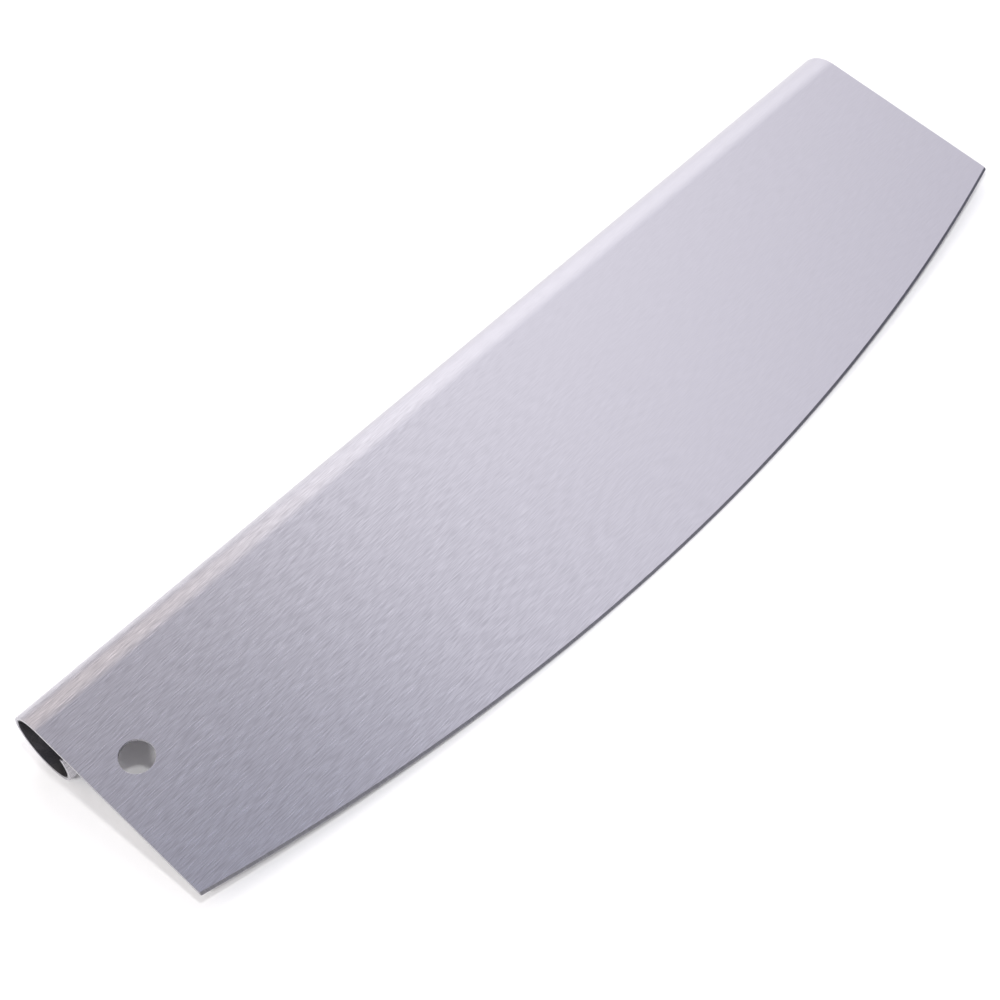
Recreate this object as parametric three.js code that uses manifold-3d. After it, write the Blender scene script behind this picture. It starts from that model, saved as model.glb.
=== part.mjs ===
// A rocker pizza cutter, bent from one sheet of steel. The flat blade ends below in a long curved
// cutting edge, and its top margin is rolled back into an open tube that serves as the handle.
// The sheet's three formed zones are separate bodies: the blade, the cutting edge and the roll.
// The cutter lies face up, on the back of the roll and the middle of the cutting edge.

import * as THREE from 'three';
import { mergeVertices } from 'three/addons/utils/BufferGeometryUtils.js';
import Module from 'manifold-3d';

// The sheet, in millimetres
const SHEET = 1.2; // thickness of the steel
const LENGTH = 350; // along the handle, between the square ends
const HEIGHT = 98; // from the middle of the cutting edge to the top of the roll
const ARC_RISE = 21.7; // climb of the cutting edge from its middle to its ends

// The rolled handle
const ROLL_RADIUS = 11.3; // outside of the roll
const LIP_RADIUS = 14; // outside of the lip that turns in under the roll
const SEAM_GAP = 3; // open slot between the lip and the back of the blade

// The ground cutting edge
const EDGE_STRIP = 3; // width of the strip along the arc
const BEVEL_WIDTH = 0.75; // ground bevel on each side
const EDGE_LAND = 0.3; // blunt thickness left at the very edge

// The hanging hole
const HOLE_RADIUS = 5;
const HOLE_FROM_END = 14; // hole centre to the left end
const HOLE_FROM_TOP = 35.6; // hole centre to the top of the roll

// Fineness of the round stretches, and the parting line between neighbouring zones
const PARTING = 0.3;
const ROLL_STEPS = 16;
const BLADE_STEPS = 24;
const ARC_STEPS_PER_TURN = 720;

// Places that follow from these sizes. In the sheet's own frame X runs along the handle,
// Y climbs the front face from the cutting edge to the roll, and Z points out of the front face.
const HALF_LENGTH = LENGTH / 2;
const ARC_RADIUS = (HALF_LENGTH ** 2 + ARC_RISE ** 2) / (2 * ARC_RISE);
const ROLL_CENTRE_Y = HEIGHT - ROLL_RADIUS;

const wasm = await Module();
wasm.setup();

function solid(geometry) {
  geometry.deleteAttribute('normal');
  geometry.deleteAttribute('uv');
  const merged = mergeVertices(geometry);
  return new wasm.Manifold(new wasm.Mesh({
    numProp: 3,
    vertProperties: merged.attributes.position.array,
    triVerts: new Uint32Array(merged.index.array),
  }));
}

function surface(body) {
  const mesh = body.getMesh();
  const geometry = new THREE.BufferGeometry();
  geometry.setAttribute('position', new THREE.BufferAttribute(mesh.vertProperties, 3));
  geometry.setIndex(new THREE.BufferAttribute(mesh.triVerts, 1));
  geometry.computeVertexNormals();
  return geometry;
}

function steel(color, roughness) {
  return new THREE.MeshStandardMaterial({ color, roughness, metalness: 1 });
}

function named(name, geometry, material) {
  const mesh = new THREE.Mesh(geometry, material);
  mesh.name = name;
  return mesh;
}

// Flat blade: square ends, an arc below that runs beside the edge strip, and the hanging hole.
function blade() {
  const top = ROLL_CENTRE_Y - PARTING;
  const radius = ARC_RADIUS - EDGE_STRIP - PARTING;
  const swing = Math.asin(HALF_LENGTH / radius);
  const outline = new THREE.Shape();
  outline.moveTo(HALF_LENGTH, top);
  outline.lineTo(-HALF_LENGTH, top);
  outline.absarc(0, ARC_RADIUS, radius, -Math.PI / 2 - swing, -Math.PI / 2 + swing, false);
  outline.closePath();
  const hole = new THREE.Path();
  hole.absarc(HOLE_FROM_END - HALF_LENGTH, HEIGHT - HOLE_FROM_TOP, HOLE_RADIUS, 0, 2 * Math.PI, true);
  outline.holes.push(hole);
  const geometry = new THREE.ExtrudeGeometry(outline, {
    depth: SHEET,
    bevelEnabled: false,
    curveSegments: BLADE_STEPS,
  });
  geometry.translate(0, 0, -SHEET);
  return named('blade', geometry, steel(0xb2b2ba, 0.36));
}

// Cutting edge: a ring about the arc's centre, bevelled to a blunt land and cut square at both ends.
function cuttingEdge() {
  const inner = ARC_RADIUS - EDGE_STRIP;
  const shoulder = ARC_RADIUS - BEVEL_WIDTH;
  const landInset = (SHEET - EDGE_LAND) / 2;
  const profile = [
    new THREE.Vector2(inner, -SHEET),
    new THREE.Vector2(shoulder, -SHEET),
    new THREE.Vector2(ARC_RADIUS, landInset - SHEET),
    new THREE.Vector2(ARC_RADIUS, -landInset),
    new THREE.Vector2(shoulder, 0),
    new THREE.Vector2(inner, 0),
    new THREE.Vector2(inner, -SHEET),
  ];
  const ring = new THREE.LatheGeometry(profile, ARC_STEPS_PER_TURN);
  ring.rotateX(Math.PI / 2);
  ring.translate(0, ARC_RADIUS, 0);
  const span = new THREE.BoxGeometry(LENGTH, 2 * HEIGHT, 4 * SHEET);
  return named('cutting_edge', surface(solid(ring).intersect(solid(span))), steel(0x8e8e94, 0.3));
}

// Rolled handle: the sheet turns back over the top and down again, then its lip tucks in under
// the roll and stops short of the blade's back.
function handleRoll() {
  const bottom = -Math.PI / 2;
  const tuck = Math.asin((ROLL_RADIUS - SHEET - SEAM_GAP) / LIP_RADIUS);
  const lipCentreY = HEIGHT - 2 * ROLL_RADIUS + LIP_RADIUS;
  const section = new THREE.Shape();
  section.moveTo(0, ROLL_CENTRE_Y);
  section.absarc(ROLL_RADIUS, ROLL_CENTRE_Y, ROLL_RADIUS, Math.PI, bottom, true);
  section.absarc(ROLL_RADIUS, lipCentreY, LIP_RADIUS, bottom, bottom - tuck, true);
  section.absarc(ROLL_RADIUS, lipCentreY, LIP_RADIUS - SHEET, bottom - tuck, bottom, false);
  section.absarc(ROLL_RADIUS, ROLL_CENTRE_Y, ROLL_RADIUS - SHEET, bottom, Math.PI, false);
  section.closePath();
  const geometry = new THREE.ExtrudeGeometry(section, {
    depth: LENGTH,
    bevelEnabled: false,
    curveSegments: ROLL_STEPS,
  });
  geometry.rotateY(Math.PI / 2);
  geometry.translate(-HALF_LENGTH, 0, 0);
  return named('handle_roll', geometry, steel(0xb8b6ba, 0.36));
}

// Slope of a surface that carries the roll's back and one corner of the cutting edge,
// given by the corner's Y and Z.
function slopeUnder(cornerY, cornerZ) {
  const run = ROLL_CENTRE_Y - cornerY;
  const drop = cornerZ + ROLL_RADIUS;
  return Math.asin(ROLL_RADIUS / Math.hypot(run, drop)) + Math.atan2(drop, run);
}

const landSlope = slopeUnder(0, -(SHEET + EDGE_LAND) / 2);
const shoulderSlope = slopeUnder(BEVEL_WIDTH, -SHEET);

const sheet = new THREE.Group();
sheet.add(blade(), cuttingEdge(), handleRoll());
sheet.rotation.x = Math.min(landSlope, shoulderSlope);

// The origin is the middle of the footprint, on the surface that carries the cutter.
const reach = new THREE.Box3().setFromObject(sheet, true);
const middle = reach.getCenter(new THREE.Vector3());
sheet.position.set(-middle.x, -middle.y, -reach.min.z);

const pizzaCutter = new THREE.Group();
pizzaCutter.add(sheet);

export default pizzaCutter;
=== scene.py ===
"""A rocker pizza cutter bent from one sheet of steel.

It is dressed over its CAD frame and staged for a picture.
"""

import math

import bmesh
import bpy
from mathutils import Matrix, Vector


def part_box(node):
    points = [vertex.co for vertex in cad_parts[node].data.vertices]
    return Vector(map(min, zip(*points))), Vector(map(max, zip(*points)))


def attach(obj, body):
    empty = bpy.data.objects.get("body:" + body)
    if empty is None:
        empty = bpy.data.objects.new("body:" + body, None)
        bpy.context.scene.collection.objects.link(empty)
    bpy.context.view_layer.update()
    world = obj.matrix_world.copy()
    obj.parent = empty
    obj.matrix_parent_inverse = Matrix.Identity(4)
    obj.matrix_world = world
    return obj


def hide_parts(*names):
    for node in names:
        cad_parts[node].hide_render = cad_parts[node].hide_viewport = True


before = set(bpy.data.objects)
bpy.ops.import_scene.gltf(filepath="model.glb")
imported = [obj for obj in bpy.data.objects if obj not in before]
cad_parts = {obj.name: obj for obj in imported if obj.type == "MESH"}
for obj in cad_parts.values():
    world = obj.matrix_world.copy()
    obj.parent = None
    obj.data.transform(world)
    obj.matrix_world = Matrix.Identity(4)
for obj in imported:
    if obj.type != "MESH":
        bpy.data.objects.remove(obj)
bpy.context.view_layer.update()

bl_info = {
    "name": "Rocker Pizza Cutter",
    "version": (1, 0, 0),
    "blender": (4, 5, 0),
    "location": "View3D > Sidebar > Cutter",
    "description": "Builds a rocker pizza cutter of brushed sheet steel and the studio that shows it",
    "category": "Add Mesh",
}

MM = 0.001
BLANK = "blank"  # UV map of the flat sheet: U along the handle, V up the front and round the roll

# Fineness of the meshes
BLOCK_SHARE = 1.6  # half side of the square that frames the hanging hole, in hole radii
BLOCK_CELLS = 12  # cells along each side of that square
RING_COUNT = 4  # rings of cells between the square and the hole
END_CELLS = 2  # cells from the left end to the square
LONG_CELLS = 54  # cells from the square to the right end
LOW_CELLS = 6  # cells from the edge strip up to the square
HIGH_CELLS = 3  # cells from the square up to the roll
ROLL_CELLS = 60  # cells round three quarters of a turn
LIP_CELLS = 8  # cells round the lip
BREAK_SEGMENTS = 2  # cells across a broken edge
BREAK_PROFILE = 0.5  # a broken edge is round

# Shape of the sheet where the settings don't give it
THREE_QUARTERS = 1.5 * math.pi  # turn of the roll where its lip begins
FIRST_CORNER = -0.75 * math.pi  # direction from the hole to the first corner of its square
BURNISHED_SHARE = 0.7  # share of a sheared edge that the shear rubs bright, before the steel tears
SMOOTH_LIMIT = math.radians(15)  # steeper corners stay crisp
NEAR = MM / 1000  # places that are closer than this are the same
HOLE_REACH = 1.01  # places within this many hole radii lie on the hole's rim

# Order of the finishes on each piece
FACE, INSIDE, BURNISHED, TORN, GROUND = range(5)

# Corners of the edge strip's section: down the front, across the land, up the back. The last two
# part the burnished band from the torn one, at the top and at the shoulders of the bevels.
(FRONT_TOP, FRONT_SHOULDER, FRONT_LAND, BACK_LAND, BACK_SHOULDER, BACK_TOP,
 BAND_TOP, BAND_SHOULDER) = range(8)

# Roughness of the finishes that have no setting of their own
MILL_ROUGHNESS = 0.42
BURNISHED_ROUGHNESS = 0.3
TORN_ROUGHNESS = 0.55
GROUND_ROUGHNESS = 0.32

# Sizes and depths of their grains, as they are drawn
PEBBLE_SIZE, PEBBLE_DEPTH = 0.3 * MM, 0.01 * MM
DRAG_WIDTH, DRAG_DEPTH = 0.2 * MM, 0.02 * MM
PIT_SIZE, PIT_DEPTH = 0.15 * MM, 0.03 * MM
WHEEL_WIDTH, WHEEL_LENGTH, WHEEL_DEPTH = 0.25 * MM, 4 * MM, 0.01 * MM

# Noise of each grain: its detail, and the part of it that runs from the pits to the crests
GRAIN_DETAIL, GRAIN_ROUGHNESS = 1.0, 0.5
GRAIN_LOW, GRAIN_HIGH = 0.35, 0.65
HALFWAY = 0.5  # the mean of two grains, and the height of a face that has none
ACROSS = 0.25  # quarter of a turn, from along the strokes to across them

# Sockets of the Mix node that hold its two colours and its result, and its two numbers and theirs
MIX_A, MIX_B, MIX_RESULT = 6, 7, 2
MIX_LOW, MIX_HIGH, MIX_NUMBER = 2, 3, 0

# Floor and camera
FLOOR_REACH = 90.0  # from its middle to its sides, so far that no view shows where it ends
FLOOR_CELLS = 8
FLOOR_ROUGHNESS = 0.9
FLOOR_GLOSS = 0.1
SENSOR_WIDTH = 36.0
CLIP_START = 10 * MM

# Where each light of the dome begins and where it is full, by the direction's part along one axis
RIGHT_SPAN = (0.27, 0.37)  # along X
HIGH_SPAN = (-0.3, 0.5)  # along Z
BACK_SPAN = (-0.08, 0.46)  # along Y
LEFT_SPAN = (0.0, -0.35)  # along X
RIGHT_BACK_SPAN = (-0.6, -0.1)  # along Y
FRONT_SPAN = (-0.25, -0.6)  # along Y
FAR_SPAN = (0.4, 0.75)  # along X
HORIZON_SPAN = (0.04, 0.0)  # along Z
WHOLE_SPAN = (0.0, 1.0)  # along another light's share


def linear(hex_colour):
    """Linear light of an sRGB hex colour."""
    shares = [int(hex_colour[at:at + 2], 16) / 255 for at in (1, 3, 5)]
    return [s / 12.92 if s <= 0.04045 else ((s + 0.055) / 1.055) ** 2.4 for s in shares]


def length_property(name, description, millimetres):
    """A length, given in millimetres and kept in metres."""
    return bpy.props.FloatProperty(
        name=name, description=description, default=millimetres * MM, min=0.0,
        unit="LENGTH", subtype="DISTANCE", precision=5)


def place_property(name, description, millimetres):
    """A place along the handle from its middle, given in millimetres and kept in metres."""
    return bpy.props.FloatProperty(
        name=name, description=description, default=millimetres * MM,
        unit="LENGTH", subtype="DISTANCE", precision=5)


def point_property(name, description, millimetres):
    """A point, given in millimetres and kept in metres."""
    return bpy.props.FloatVectorProperty(
        name=name, description=description, default=[part * MM for part in millimetres],
        unit="LENGTH", subtype="TRANSLATION")


def angle_property(name, description, degrees):
    """An angle, given in degrees and kept in radians."""
    return bpy.props.FloatProperty(
        name=name, description=description, default=math.radians(degrees),
        unit="ROTATION", subtype="ANGLE")


def direction_property(name, description, direction):
    """A direction, as X to the right, Y to the back and Z up."""
    return bpy.props.FloatVectorProperty(
        name=name, description=description, default=direction, subtype="DIRECTION")


def strength_property(name, description, strength):
    """Strength of a distant lamp."""
    return bpy.props.FloatProperty(name=name, description=description, default=strength, min=0.0)


def colour_property(name, description, hex_colour):
    """A colour, given as sRGB hex and kept as linear light."""
    return bpy.props.FloatVectorProperty(
        name=name, description=description, default=linear(hex_colour), min=0.0, max=1.0,
        size=3, subtype="COLOR")


def share_property(name, description, share):
    """A number from nothing to one."""
    return bpy.props.FloatProperty(
        name=name, description=description, default=share, min=0.0, max=1.0, subtype="FACTOR")


class CutterSizes(bpy.types.PropertyGroup):
    """Sizes of the bent sheet.

    They are the frame's, but for two cases. Height and roll radius are a hair smaller, so that the
    round roll stays inside the box of the frame's faceted one. The edge strip and the roll's start
    each take in half of the parting between the frame's solids, so that the pieces meet.
    """

    length: length_property("Length", "Along the handle, between the square ends", 350)
    height: length_property(
        "Height", "From the middle of the cutting edge to the top of the roll", 97.95)
    sheet: length_property("Sheet", "Thickness of the steel", 1.2)
    arc_rise: length_property(
        "Arc rise", "Climb of the cutting edge from its middle to its ends", 21.7)
    roll_radius: length_property("Roll radius", "Outside radius of the rolled handle", 11.285)
    lip_radius: length_property("Lip radius", "Outside radius of the lip under the roll", 14)
    seam_gap: length_property("Seam gap", "Open slot between the lip and the blade's back", 3)
    edge_strip: length_property("Edge strip", "Width of the strip along the cutting edge", 3.15)
    bevel_width: length_property("Bevel width", "Ground bevel on each side of the edge", 0.75)
    edge_land: length_property("Edge land", "Blunt thickness left at the very edge", 0.3)
    hole_radius: length_property("Hole radius", "Radius of the hanging hole", 5)
    hole_from_end: length_property("Hole from end", "Hole centre to the left end", 14)
    hole_from_top: length_property("Hole from top", "Hole centre to the top of the roll", 35.6)
    roll_start: length_property(
        "Roll start", "Flat margin that belongs to the roll, below its bend", 0.15)
    edge_break: length_property(
        "Edge break", "Width that the deburring took off each cut edge", 0.12)


class CutterLooks(bpy.types.PropertyGroup):
    """Colours and finishes of the steel. The cold rolled side's two tones carry painted shade for the
    inside of the roll.
    """

    steel: colour_property("Steel", "Brushed stainless steel, between the strokes", "#e2e0e6")
    stroke: colour_property("Stroke", "Brushed stainless steel, in the strokes", "#b8b6bc")
    # Cold rolled side: both tones are darker than the bare finish, as painted shade inside the tube
    mill_and_painted_shade: colour_property("Mill side", "Cold rolled side of the sheet, inside the roll", "#858489")
    mill_pit_and_painted_shade: colour_property("Mill pit", "Cold rolled side, in its pits", "#737277")
    burnished: colour_property(
        "Burnished band", "Sheared edge where the shear rubbed it", "#cccbd1")
    drag: colour_property(
        "Drag line", "Sheared edge, in the lines that the shear dragged", "#a6a5ab")
    torn: colour_property("Torn band", "Sheared edge where the steel tore", "#98979c")
    torn_pit: colour_property("Torn pit", "Sheared edge, in the pits of the tear", "#6a696e")
    ground: colour_property("Ground bevel", "Steel as the grinding wheel leaves it", "#b4b3b9")
    ground_line: colour_property("Ground line", "Ground bevel, in the wheel's lines", "#a09fa5")
    stroke_length: length_property("Stroke length", "Length of a brush stroke", 5)
    stroke_width: length_property("Stroke width", "Width of a brush stroke", 0.34)
    stroke_slant: angle_property(
        "Stroke slant", "Angle between the belt's run and the handle", 2)
    stroke_lean: angle_property("Stroke lean", "Angle between a stroke and the belt's run", 3)
    stroke_depth: length_property("Stroke depth", "Depth of a brush stroke", 0.005)
    stroke_fade: share_property(
        "Stroke fade", "How far the strokes fade toward the right end", 0.86)
    fade_start: place_property(
        "Fade start", "Where the strokes begin to fade, along the handle from its middle", -160)
    fade_end: place_property(
        "Fade end", "Where they are faintest, along the handle from its middle", 45)
    roughness: share_property("Roughness", "Roughness of the brushed face", 0.3)
    unevenness: share_property("Unevenness", "How far the strokes vary that roughness", 0.04)
    spread: share_property("Spread", "How far the shine spreads across the grain", 0.5)


class CutterStage(bpy.types.PropertyGroup):
    """Camera, light and floor."""

    camera_place: point_property(
        "Camera place", "Where the camera stands", (-264.41, -292.19, 434.03))
    camera_aim: point_property(
        "Camera aim", "Point at the middle of the picture", (-32.2, -0.38, 10.0))
    camera_roll: angle_property(
        "Camera roll", "Turn of the camera about its line of sight", -10.759)
    lens: bpy.props.FloatProperty(
        name="Lens", description="Focal length on a 36 mm sensor", default=69.17, unit="CAMERA")
    floor: colour_property("Floor", "Matt white floor", "#f6f6f6")
    key_energy: strength_property("Key light", "Strength of the distant softbox", 0.8)
    key_from: direction_property(
        "Key from", "Direction that the softbox shines from", (0.07, -0.325, 0.943))
    key_angle: angle_property("Key size", "Angle that the softbox fills", 5)
    fill_energy: strength_property("Fill light", "Strength of the distant lamp at the left", 1.36)
    fill_from: direction_property(
        "Fill from", "Direction that the left lamp shines from", (-0.56, -0.30, 0.77))
    fill_angle: angle_property("Fill size", "Angle that the left lamp fills", 10)
    dome: colour_property("Dome", "Plain light of the studio's dome", "#818ba4")
    left_glow: colour_property("Left glow", "Light that the dome's left side adds", "#8e8673")
    right_glow: colour_property("Right glow", "Light that the dome's right side adds", "#e9e2de")
    back_glow: colour_property("Back glow", "Light that the dome's back adds", "#d6c7b1")
    corner_shade: colour_property(
        "Corner shade", "Light that the dome lacks at its right back", "#7c5900")
    front_glow: colour_property("Front glow", "Light that the dome's front adds", "#776a4a")
    far_shade: colour_property(
        "Far shade", "Light that the dome lacks at its far right", "#969696")
    horizon_glow: colour_property(
        "Horizon glow", "Light that the dome adds where it meets the floor", "#e8e8e8")


def add_node(tree, kind, inputs, **settings):
    """Adds a node with its settings. Each input takes a value or another node's output."""
    node = tree.nodes.new(kind)
    for name, value in settings.items():
        setattr(node, name, value)
    for name, value in inputs.items():
        if isinstance(value, bpy.types.NodeSocket):
            tree.links.new(value, node.inputs[name])
        else:
            node.inputs[name].default_value = value
    return node


def bare_steel(name, roughness):
    """A bare metal, to which the caller adds its grain."""
    material = bpy.data.materials.new(name)
    material.use_nodes = True
    shader = material.node_tree.nodes["Principled BSDF"]
    shader.inputs["Metallic"].default_value = 1.0
    shader.inputs["Roughness"].default_value = roughness
    return material, material.node_tree, shader


def grain_height(tree, place, grain_size, turn=0.0):
    """Height of grains of the given size, from 0 to 1. The turn leans their length."""
    counted = add_node(
        tree, "ShaderNodeMapping",
        {"Vector": place, "Rotation": (0.0, 0.0, turn), "Scale": grain_size},
        vector_type="TEXTURE")
    grain = add_node(
        tree, "ShaderNodeTexNoise",
        {"Vector": counted.outputs["Vector"], "Scale": 1.0,
         "Detail": GRAIN_DETAIL, "Roughness": GRAIN_ROUGHNESS})
    height = add_node(
        tree, "ShaderNodeMapRange",
        {"Value": grain.outputs["Fac"], "From Min": GRAIN_LOW, "From Max": GRAIN_HIGH})
    return height.outputs["Result"]


def draw_grain(tree, shader, height, light, dark, depth):
    """Draws grains in two tones, and dents the steel with them."""
    tone = add_node(
        tree, "ShaderNodeMix",
        {"Factor": height, MIX_A: (*dark, 1.0), MIX_B: (*light, 1.0)},
        data_type="RGBA")
    dent = add_node(tree, "ShaderNodeBump", {"Height": height, "Distance": depth, "Strength": 1.0})
    tree.links.new(tone.outputs[MIX_RESULT], shader.inputs["Base Color"])
    tree.links.new(dent.outputs["Normal"], shader.inputs["Normal"])


def stainless_brushed(name, looks):
    """Stainless steel sheet, brushed along the handle by an abrasive belt.

    It gives the eye a soft silver grey with a faint violet cast, drawn out in short fine strokes at
    small angles to each other, and a shine that spreads across them. The strokes fade toward the
    right end, as in the photograph. The belt's scratches are some 0.05 mm wide, and the strokes are
    drawn about seven times as wide to show.
    """
    material, tree, shader = bare_steel(name, looks.roughness)
    place = add_node(tree, "ShaderNodeUVMap", {}, uv_map=BLANK).outputs["UV"]
    stroke = (looks.stroke_length, looks.stroke_width, 1.0)
    crossed = add_node(
        tree, "ShaderNodeMix",
        {"Factor": HALFWAY,
         MIX_LOW: grain_height(tree, place, stroke, looks.stroke_slant + looks.stroke_lean),
         MIX_HIGH: grain_height(tree, place, stroke, looks.stroke_slant - looks.stroke_lean)},
        data_type="FLOAT")
    along = add_node(tree, "ShaderNodeSeparateXYZ", {"Vector": place}).outputs["X"]
    fade = add_node(
        tree, "ShaderNodeMapRange",
        {"Value": along, "From Min": looks.fade_start, "From Max": looks.fade_end,
         "To Max": looks.stroke_fade},
        interpolation_type="SMOOTHSTEP")
    faded = add_node(
        tree, "ShaderNodeMix",
        {"Factor": fade.outputs["Result"], MIX_LOW: crossed.outputs[MIX_NUMBER], MIX_HIGH: HALFWAY},
        data_type="FLOAT")
    height = faded.outputs[MIX_NUMBER]
    draw_grain(tree, shader, height, looks.steel, looks.stroke, looks.stroke_depth)
    polish = add_node(
        tree, "ShaderNodeMapRange",
        {"Value": height, "To Min": looks.roughness + looks.unevenness,
         "To Max": looks.roughness - looks.unevenness})
    run = add_node(tree, "ShaderNodeTangent", {}, direction_type="UV_MAP", uv_map=BLANK)
    tree.links.new(polish.outputs["Result"], shader.inputs["Roughness"])
    tree.links.new(run.outputs["Tangent"], shader.inputs["Tangent"])
    shader.inputs["Anisotropic"].default_value = looks.spread
    shader.inputs["Anisotropic Rotation"].default_value = ACROSS
    return material


def stainless_cold_rolled_painted_shade(name, looks):
    """Stainless steel as cold rolling leaves it, with painted shade.

    It gives the eye an even, dull grey with no direction, and a fine pebble where light grazes it.
    Its two tones are darker than the bare finish: painted shade for the dark inside of the roll.
    The pebble is some 0.03 mm across and is drawn ten times as wide to show.
    """
    material, tree, shader = bare_steel(name, MILL_ROUGHNESS)
    place = add_node(tree, "ShaderNodeTexCoord", {}).outputs["Object"]
    pebble = grain_height(tree, place, [PEBBLE_SIZE] * 3)
    draw_grain(tree, shader, pebble, looks.mill_and_painted_shade, looks.mill_pit_and_painted_shade, PEBBLE_DEPTH)
    return material


def stainless_burnished(name, looks):
    """The upper band of a sheared edge, and the edges that were deburred.

    The shear rubs the steel bright and drags fine lines through its thickness, so that it gives the
    eye a thin light line with specks. The blank has no thickness, so a grain that is drawn on it
    comes out as those lines. They are some 0.03 mm apart and are drawn about seven times as wide.
    """
    material, tree, shader = bare_steel(name, BURNISHED_ROUGHNESS)
    place = add_node(tree, "ShaderNodeUVMap", {}, uv_map=BLANK).outputs["UV"]
    lines = grain_height(tree, place, [DRAG_WIDTH] * 3)
    draw_grain(tree, shader, lines, looks.burnished, looks.drag, DRAG_DEPTH)
    return material


def stainless_torn(name, looks):
    """The lower band of a sheared edge, where the steel tore.

    It gives the eye a dull dark line, uneven from close by. The torn grains are some 0.05 mm across
    and are drawn three times as wide to show.
    """
    material, tree, shader = bare_steel(name, TORN_ROUGHNESS)
    place = add_node(tree, "ShaderNodeTexCoord", {}).outputs["Object"]
    pits = grain_height(tree, place, [PIT_SIZE] * 3)
    draw_grain(tree, shader, pits, looks.torn, looks.torn_pit, PIT_DEPTH)
    return material


def stainless_ground(name, looks):
    """The bevel of the cutting edge, as the grinding wheel leaves it.

    It gives the eye a grey line along the edge, crossed by fine lines that run up the bevel. A
    wheel's lines are some 0.05 mm apart and are drawn five times as wide to show.
    """
    material, tree, shader = bare_steel(name, GROUND_ROUGHNESS)
    place = add_node(tree, "ShaderNodeUVMap", {}, uv_map=BLANK).outputs["UV"]
    lines = grain_height(tree, place, (WHEEL_WIDTH, WHEEL_LENGTH, 1.0))
    draw_grain(tree, shader, lines, looks.ground, looks.ground_line, WHEEL_DEPTH)
    return material


def finishes(looks):
    """The steel's finishes, in their order on each piece. Each is made once."""
    makers = {
        "stainless_steel_brushed": stainless_brushed,
        "stainless_steel_cold_rolled": stainless_cold_rolled_painted_shade,
        "stainless_steel_burnished": stainless_burnished,
        "stainless_steel_torn": stainless_torn,
        "stainless_steel_ground": stainless_ground,
    }
    return [bpy.data.materials.get(name) or make(name, looks) for name, make in makers.items()]


def spread(low, high, cells):
    """The ends of equal cells from low to high, without low itself."""
    return [low + (high - low) * (at + 1) / cells for at in range(cells)]


def roll_centre_height(sizes):
    """Height of the roll's axis, where the flat of the blade ends."""
    return sizes.height - sizes.roll_radius


def arc_radius(sizes):
    """Radius of the cutting edge's arc."""
    half = sizes.length / 2
    return (half ** 2 + sizes.arc_rise ** 2) / (2 * sizes.arc_rise)


def arc_height(sizes, along, inset):
    """Height of an arc that runs inside the cutting edge by the inset."""
    radius = arc_radius(sizes)
    return radius - math.sqrt((radius - inset) ** 2 - along ** 2)


def hole_block(sizes):
    """Left, right, bottom and top of the square that frames the hanging hole."""
    reach = BLOCK_SHARE * sizes.hole_radius
    along = sizes.hole_from_end - sizes.length / 2
    height = sizes.height - sizes.hole_from_top
    return along - reach, along + reach, height - reach, height + reach


def stations(sizes):
    """Places along the handle where the three pieces have their points, so that they meet."""
    half = sizes.length / 2
    left, right, _, _ = hole_block(sizes)
    return ([-half] + spread(-half, left, END_CELLS) + spread(left, right, BLOCK_CELLS)
            + spread(right, half, LONG_CELLS))


def lying(sizes):
    """Turns the sheet from its own frame to the floor, where it lies on the roll and the edge.

    In the sheet's own frame X runs along the handle, Y climbs the front face from the cutting
    edge's middle, and Z points out of the front face.
    """
    run = roll_centre_height(sizes) - sizes.bevel_width
    drop = sizes.roll_radius - sizes.sheet
    slope = math.asin(sizes.roll_radius / math.hypot(run, drop)) + math.atan2(drop, run)
    low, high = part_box("handle_roll")
    axis_on_floor = Vector((0, high.y - sizes.roll_radius, low.z + sizes.roll_radius))
    axis_in_sheet = Vector((0, roll_centre_height(sizes), -sizes.roll_radius))
    return (Matrix.Translation(axis_on_floor) @ Matrix.Rotation(slope, 4, "X")
            @ Matrix.Translation(-axis_in_sheet))


def bent(sizes, along, up, lift):
    """Point of the bent sheet, from its place on the blank and its lift off the sheet's middle."""
    half_sheet = sizes.sheet / 2
    centre = roll_centre_height(sizes)
    past = up - centre
    if past <= 0:
        return Vector((along, up, lift - half_sheet))
    radius = sizes.roll_radius - half_sheet
    turn = past / radius
    if turn > THREE_QUARTERS:
        lip = sizes.lip_radius - half_sheet
        turn = THREE_QUARTERS + (past - radius * THREE_QUARTERS) / lip
        centre += sizes.lip_radius - sizes.roll_radius
        radius = lip
    reach = radius + lift
    out = reach * math.cos(turn) - sizes.roll_radius
    return Vector((along, centre + reach * math.sin(turn), out))


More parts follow.
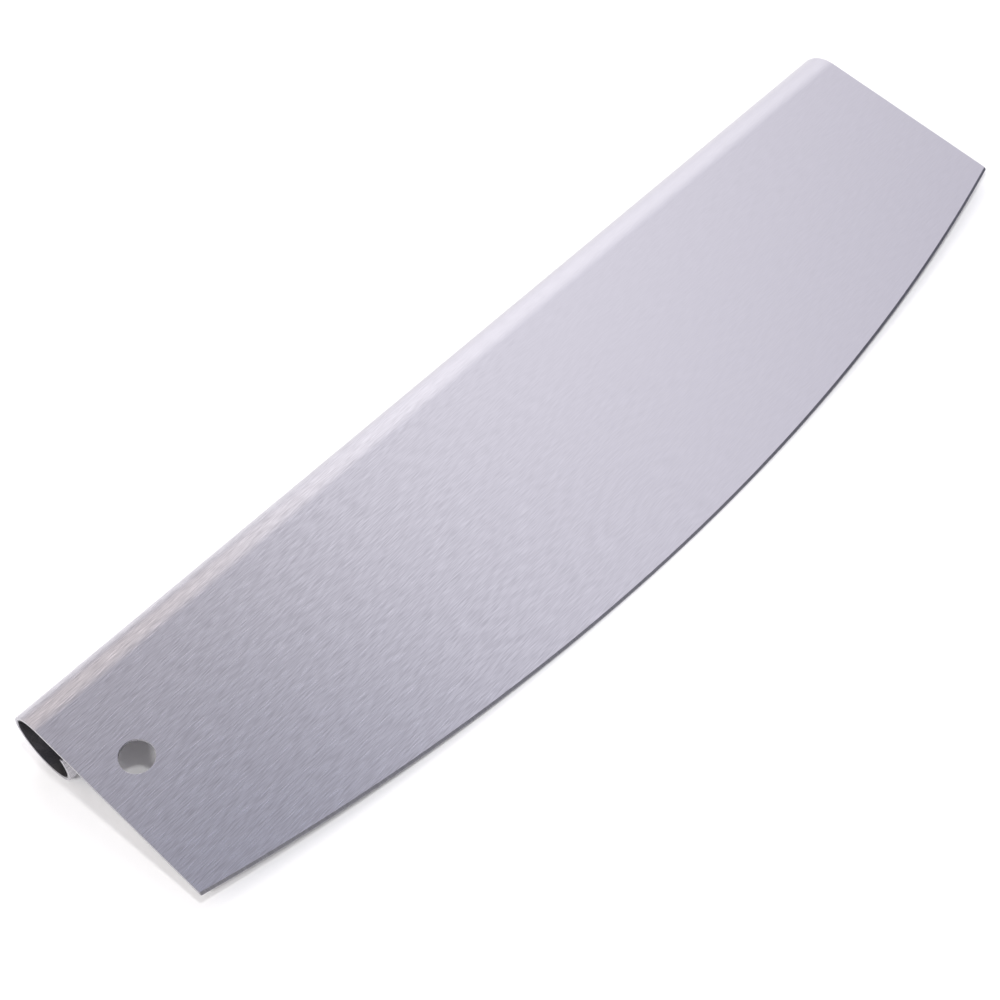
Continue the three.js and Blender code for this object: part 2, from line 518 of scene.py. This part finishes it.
def blade_blank(sizes):
    """Points and four-sided cells of the flat blade, with rings of cells round the hanging hole."""
    columns = stations(sizes)
    left, right, bottom, top = hole_block(sizes)
    roof = roll_centre_height(sizes) - sizes.roll_start
    first, last = END_CELLS, END_CELLS + BLOCK_CELLS
    low_row, high_row = LOW_CELLS, LOW_CELLS + BLOCK_CELLS
    points, cells, place = [], [], {}
    for column, along in enumerate(columns):
        floor = arc_height(sizes, along, sizes.edge_strip)
        rows = ([floor] + spread(floor, bottom, LOW_CELLS) + spread(bottom, top, BLOCK_CELLS)
                + spread(top, roof, HIGH_CELLS))
        for row, up in enumerate(rows):
            if first < column < last and low_row < row < high_row:
                continue
            place[column, row] = len(points)
            points.append((along, up))
    row_count = LOW_CELLS + BLOCK_CELLS + HIGH_CELLS
    for column in range(len(columns) - 1):
        for row in range(row_count):
            if first <= column < last and low_row <= row < high_row:
                continue
            corners = ((column, row), (column + 1, row), (column + 1, row + 1), (column, row + 1))
            cells.append([place[corner] for corner in corners])
    steps = range(BLOCK_CELLS)
    outer = [place[first + step, low_row] for step in steps]
    outer += [place[last, low_row + step] for step in steps]
    outer += [place[last - step, high_row] for step in steps]
    outer += [place[first, high_row - step] for step in steps]
    square = [points[at] for at in outer]
    middle = ((left + right) / 2, (bottom + top) / 2)
    for ring in range(1, RING_COUNT + 1):
        share = ring / RING_COUNT
        inner = []
        for step, (along, up) in enumerate(square):
            turn = 2 * math.pi * step / len(square) + FIRST_CORNER
            round_along = middle[0] + sizes.hole_radius * math.cos(turn)
            round_up = middle[1] + sizes.hole_radius * math.sin(turn)
            inner.append(len(points))
            points.append((along + (round_along - along) * share, up + (round_up - up) * share))
        for step in range(len(outer)):
            after = (step + 1) % len(outer)
            cells.append([outer[step], outer[after], inner[after], inner[step]])
        outer = inner
    return points, cells


def roll_blank(sizes):
    """Points and cells of the margin that is rolled into the handle, flat as it was before."""
    columns = stations(sizes)
    bend = roll_centre_height(sizes)
    half_sheet = sizes.sheet / 2
    round_end = bend + THREE_QUARTERS * (sizes.roll_radius - half_sheet)
    tuck = math.asin((sizes.roll_radius - sizes.sheet - sizes.seam_gap) / sizes.lip_radius)
    lip_end = round_end + tuck * (sizes.lip_radius - half_sheet)
    rows = ([bend - sizes.roll_start, bend] + spread(bend, round_end, ROLL_CELLS)
            + spread(round_end, lip_end, LIP_CELLS))
    points = [(along, up) for along in columns for up in rows]
    cells = []
    for column in range(len(columns) - 1):
        for row in range(len(rows) - 1):
            at = column * len(rows) + row
            cells.append([at, at + len(rows), at + len(rows) + 1, at + 1])
    return points, cells


def draw_face(mesh, corners, places, blank, material):
    """Adds a face with its places on the blank and its material."""
    face = mesh.faces.new(corners)
    face.material_index = material
    face.smooth = True
    for loop, place in zip(face.loops, places):
        loop[blank].uv = place


def thicken(mesh, sizes, points, cells, back_material, joined):
    """Gives the cells the sheet's thickness, and breaks the edges that join no other piece."""
    blank = mesh.loops.layers.uv.new(BLANK)
    half_sheet = sizes.sheet / 2
    front = [mesh.verts.new(bent(sizes, *point, half_sheet)) for point in points]
    back = [mesh.verts.new(bent(sizes, *point, -half_sheet)) for point in points]
    border = {}
    for cell in cells:
        places = [points[at] for at in cell]
        draw_face(mesh, [front[at] for at in cell], places, blank, FACE)
        draw_face(mesh, [back[at] for at in reversed(cell)], places[::-1], blank, back_material)
        for start, end in zip(cell, cell[1:] + cell[:1]):
            if border.pop((end, start), None) is None:
                border[start, end] = True
    band = half_sheet - BURNISHED_SHARE * sizes.sheet
    middle = {at: mesh.verts.new(bent(sizes, *points[at], band)) for at, _ in border}
    free = []
    for start, end in border:
        places = [points[start], points[start], points[end], points[end]]
        for upper, lower, material in ((front, middle, BURNISHED), (middle, back, TORN)):
            corners = [upper[start], lower[start], lower[end], upper[end]]
            draw_face(mesh, corners, places, blank, material)
        if not joined(points[start], points[end]):
            free.append(mesh.edges.get((front[start], front[end])))
            free.append(mesh.edges.get((back[start], back[end])))
    break_edges(mesh, sizes, free)


def break_edges(mesh, sizes, edges):
    """Takes the burr off cut edges."""
    mesh.normal_update()
    bmesh.ops.bevel(
        mesh, geom=edges, offset=sizes.edge_break, offset_type="OFFSET", segments=BREAK_SEGMENTS,
        profile=BREAK_PROFILE, affect="EDGES", clamp_overlap=True, material=BURNISHED)


def finish_piece(mesh, name, settings):
    """Turns the drawn mesh into a piece that lies on the floor, in its finishes."""
    mesh.transform(lying(settings.sizes))
    bmesh.ops.recalc_face_normals(mesh, faces=mesh.faces)
    data = bpy.data.meshes.new(name)
    mesh.to_mesh(data)
    mesh.free()
    data.set_sharp_from_angle(angle=SMOOTH_LIMIT)
    for material in finishes(settings.looks):
        data.materials.append(material)
    piece = bpy.data.objects.new(name, data)
    bpy.context.scene.collection.objects.link(piece)
    return piece


def build_blade(settings):
    """The flat blade with its hanging hole."""
    sizes = settings.sizes
    half = sizes.length / 2
    hole_along = sizes.hole_from_end - half
    hole_up = sizes.height - sizes.hole_from_top

    def joined(start, end):
        """Whether the blank's border joins another piece here, away from the ends and the hole."""
        on_end = abs(abs(start[0]) - half) < NEAR and abs(start[0] - end[0]) < NEAR
        from_hole = math.hypot(start[0] - hole_along, start[1] - hole_up)
        return not on_end and from_hole >= HOLE_REACH * sizes.hole_radius

    mesh = bmesh.new()
    points, cells = blade_blank(sizes)
    thicken(mesh, sizes, points, cells, FACE, joined)
    piece = finish_piece(mesh, "blade_sheet", settings)
    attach(piece, "root")
    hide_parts("blade")


def build_cutting_edge(settings):
    """The strip along the arc, ground to a bevel on both sides."""
    sizes = settings.sizes
    mesh = bmesh.new()
    blank = mesh.loops.layers.uv.new(BLANK)
    inset = (sizes.sheet - sizes.edge_land) / 2
    profile = ((sizes.edge_strip, 0.0), (sizes.bevel_width, 0.0), (0.0, -inset),
               (0.0, inset - sizes.sheet), (sizes.bevel_width, -sizes.sheet),
               (sizes.edge_strip, -sizes.sheet),
               (sizes.edge_strip, -BURNISHED_SHARE * sizes.sheet))
    rings, places = [], []
    for along in stations(sizes):
        heights = [arc_height(sizes, along, depth) for depth, _ in profile]
        rings.append([mesh.verts.new((along, up, out)) for up, (_, out) in zip(heights, profile)])
        places.append([(along, up) for up in heights])
    sides = (FACE, GROUND, GROUND, GROUND, FACE, TORN, BURNISHED)
    for at in range(len(rings) - 1):
        for side, material in enumerate(sides):
            after = (side + 1) % len(sides)
            turn = ((at, side), (at, after), (at + 1, after), (at + 1, side))
            corners = [rings[station][corner] for station, corner in turn]
            spots = [places[station][corner] for station, corner in turn]
            draw_face(mesh, corners, spots, blank, material)
    ends = (((FRONT_TOP, FRONT_SHOULDER, BAND_SHOULDER, BAND_TOP), BURNISHED),
            ((BAND_TOP, BAND_SHOULDER, BACK_SHOULDER, BACK_TOP), TORN),
            ((FRONT_SHOULDER, FRONT_LAND, BACK_LAND, BACK_SHOULDER, BAND_SHOULDER), TORN))
    free = []
    for ring, spots in ((rings[0], places[0]), (rings[-1], places[-1])):
        shoulder = ring[FRONT_SHOULDER].co.lerp(ring[BACK_SHOULDER].co, BURNISHED_SHARE)
        ring = ring + [mesh.verts.new(shoulder)]
        spots = spots + [spots[FRONT_SHOULDER]]
        for corners, material in ends:
            end_places = [spots[at] for at in corners]
            draw_face(mesh, [ring[at] for at in corners], end_places, blank, material)
        free += [mesh.edges.get((ring[at], ring[at + 1])) for at in range(FRONT_TOP, BACK_TOP)]
    bmesh.ops.recalc_face_normals(mesh, faces=mesh.faces)
    break_edges(mesh, sizes, free)
    piece = finish_piece(mesh, "cutting_edge_strip", settings)
    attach(piece, "root")
    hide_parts("cutting_edge")


def build_handle_roll(settings):
    """The top margin, rolled back into an open tube."""
    sizes = settings.sizes
    start_height = roll_centre_height(sizes) - sizes.roll_start

    def joined(start, end):
        """Whether the blank's border joins the blade here, where the roll starts."""
        return max(start[1], end[1]) - start_height < NEAR

    mesh = bmesh.new()
    points, cells = roll_blank(sizes)
    # The inside of the roll takes the cold rolled finish, whose darkened tones are painted shade
    thicken(mesh, sizes, points, cells, INSIDE, joined)
    piece = finish_piece(mesh, "handle_roll_sheet", settings)
    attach(piece, "root")
    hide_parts("handle_roll")


def lay_floor(stage):
    """A wide matt floor."""
    mesh = bmesh.new()
    bmesh.ops.create_grid(
        mesh, x_segments=FLOOR_CELLS, y_segments=FLOOR_CELLS, size=FLOOR_REACH)
    data = bpy.data.meshes.new("floor")
    mesh.to_mesh(data)
    mesh.free()
    material = bpy.data.materials.new("matt_white_floor")
    material.use_nodes = True
    shader = material.node_tree.nodes["Principled BSDF"]
    shader.inputs["Base Color"].default_value = (*stage.floor, 1.0)
    shader.inputs["Roughness"].default_value = FLOOR_ROUGHNESS
    shader.inputs["Specular IOR Level"].default_value = FLOOR_GLOSS
    data.materials.append(material)
    floor = bpy.data.objects.new("floor", data)
    bpy.context.scene.collection.objects.link(floor)


def dome_share(tree, along, span, most=1.0):
    """Rises softly from nothing at the span's start to the most at its end."""
    start, end = span
    share = add_node(
        tree, "ShaderNodeMapRange",
        {"Value": along, "From Min": start, "From Max": end, "To Max": most},
        interpolation_type="SMOOTHSTEP")
    return share.outputs["Result"]


def hang_dome(stage):
    """A wide dome, cool overhead and brighter toward its sides and the horizon."""
    world = bpy.data.worlds.new("studio_dome")
    world.use_nodes = True
    tree = world.node_tree
    tree.nodes.clear()
    sight = add_node(tree, "ShaderNodeTexCoord", {})
    toward = add_node(
        tree, "ShaderNodeSeparateXYZ", {"Vector": sight.outputs["Generated"]}).outputs
    right = dome_share(tree, toward["X"], RIGHT_SPAN)
    high = dome_share(tree, toward["Z"], HIGH_SPAN)
    back = dome_share(tree, toward["Y"], BACK_SPAN, high)
    light = stage.dome
    for share, colour, sign in (
            (dome_share(tree, toward["X"], LEFT_SPAN), stage.left_glow, 1),
            (dome_share(tree, toward["Y"], RIGHT_BACK_SPAN, right), stage.right_glow, 1),
            (back, stage.back_glow, 1),
            (dome_share(tree, right, WHOLE_SPAN, back), stage.corner_shade, -1),
            (dome_share(tree, toward["Y"], FRONT_SPAN), stage.front_glow, 1),
            (dome_share(tree, toward["X"], FAR_SPAN), stage.far_shade, -1),
            (dome_share(tree, toward["Z"], HORIZON_SPAN), stage.horizon_glow, 1)):
        added = [sign * part for part in colour]
        summed = add_node(
            tree, "ShaderNodeVectorMath", {0: share, 1: added, 2: light}, operation="MULTIPLY_ADD")
        light = summed.outputs["Vector"]
    glow = add_node(tree, "ShaderNodeBackground", {"Color": light})
    add_node(tree, "ShaderNodeOutputWorld", {"Surface": glow.outputs["Background"]})
    bpy.context.scene.world = world


def hang_light(name, energy, angle, shines_from):
    """A distant light that the floor gets and the steel doesn't mirror."""
    light = bpy.data.lights.new(name, "SUN")
    light.energy = energy
    light.angle = angle
    lamp = bpy.data.objects.new(name, light)
    lamp.rotation_euler = Vector(shines_from).to_track_quat("Z", "Y").to_euler()
    lamp.visible_glossy = False
    bpy.context.scene.collection.objects.link(lamp)


def light_studio(stage):
    """The dome, a distant softbox above and a distant lamp at the left."""
    hang_dome(stage)
    hang_light("key_softbox", stage.key_energy, stage.key_angle, stage.key_from)
    hang_light("fill_lamp", stage.fill_energy, stage.fill_angle, stage.fill_from)


def place_camera(stage):
    """The photograph's view."""
    lens = bpy.data.cameras.new("camera")
    lens.sensor_width = SENSOR_WIDTH
    lens.lens = stage.lens
    lens.clip_start = CLIP_START
    camera = bpy.data.objects.new("camera", lens)
    sight = Vector(stage.camera_aim) - Vector(stage.camera_place)
    level = sight.to_track_quat("-Z", "Y").to_matrix().to_4x4()
    camera.matrix_world = (Matrix.Translation(stage.camera_place) @ level
                           @ Matrix.Rotation(stage.camera_roll, 4, "Z"))
    bpy.context.scene.collection.objects.link(camera)
    bpy.context.scene.camera = camera


class CutterSettings(bpy.types.PropertyGroup):
    """All settings of the cutter."""

    sizes: bpy.props.PointerProperty(
        name="Sizes", description="Sizes of the sheet", type=CutterSizes)
    looks: bpy.props.PointerProperty(
        name="Looks", description="Finishes of the steel", type=CutterLooks)
    stage: bpy.props.PointerProperty(
        name="Stage", description="Camera, light and floor", type=CutterStage)


class CUTTER_OT_blade(bpy.types.Operator):
    """Build the flat blade with its hanging hole"""

    bl_idname = "cutter.blade"
    bl_label = "Blade"

    def execute(self, context):
        build_blade(context.scene.cutter)
        return {"FINISHED"}


class CUTTER_OT_cutting_edge(bpy.types.Operator):
    """Build the ground strip along the curved cutting edge"""

    bl_idname = "cutter.cutting_edge"
    bl_label = "Cutting edge"

    def execute(self, context):
        build_cutting_edge(context.scene.cutter)
        return {"FINISHED"}


class CUTTER_OT_handle_roll(bpy.types.Operator):
    """Build the rolled handle"""

    bl_idname = "cutter.handle_roll"
    bl_label = "Handle roll"

    def execute(self, context):
        build_handle_roll(context.scene.cutter)
        return {"FINISHED"}


class CUTTER_OT_stage(bpy.types.Operator):
    """Lay the floor, light the studio and place the camera"""

    bl_idname = "cutter.stage"
    bl_label = "Stage"

    def execute(self, context):
        stage = context.scene.cutter.stage
        lay_floor(stage)
        light_studio(stage)
        place_camera(stage)
        context.scene.view_settings.view_transform = "Standard"
        return {"FINISHED"}


class CUTTER_PT_panel(bpy.types.Panel):
    """Settings and steps of the cutter"""

    bl_idname = "CUTTER_PT_panel"
    bl_label = "Pizza Cutter"
    bl_space_type = "VIEW_3D"
    bl_region_type = "UI"
    bl_category = "Cutter"

    def draw(self, context):
        settings = context.scene.cutter
        for group in (settings.sizes, settings.looks, settings.stage):
            box = self.layout.box()
            for name in group.bl_rna.properties.keys():
                if name not in {"rna_type", "name"}:
                    box.prop(group, name)
        for step in STEPS:
            self.layout.operator(step.bl_idname)


STEPS = (CUTTER_OT_blade, CUTTER_OT_cutting_edge, CUTTER_OT_handle_roll, CUTTER_OT_stage)
CLASSES = (CutterSizes, CutterLooks, CutterStage, CutterSettings, *STEPS, CUTTER_PT_panel)


def register():
    """Adds the classes, and the cutter's settings to the scene."""
    for each in CLASSES:
        bpy.utils.register_class(each)
    bpy.types.Scene.cutter = bpy.props.PointerProperty(
        name="Cutter", description="Settings of the pizza cutter", type=CutterSettings)


def unregister():
    """Takes the settings and the classes away again."""
    del bpy.types.Scene.cutter
    for each in reversed(CLASSES):
        bpy.utils.unregister_class(each)


def main():
    """Builds the pieces and the stage."""
    register()
    bpy.ops.cutter.blade()
    bpy.ops.cutter.cutting_edge()
    bpy.ops.cutter.handle_roll()
    bpy.ops.cutter.stage()


if __name__ == "__main__":
    main()
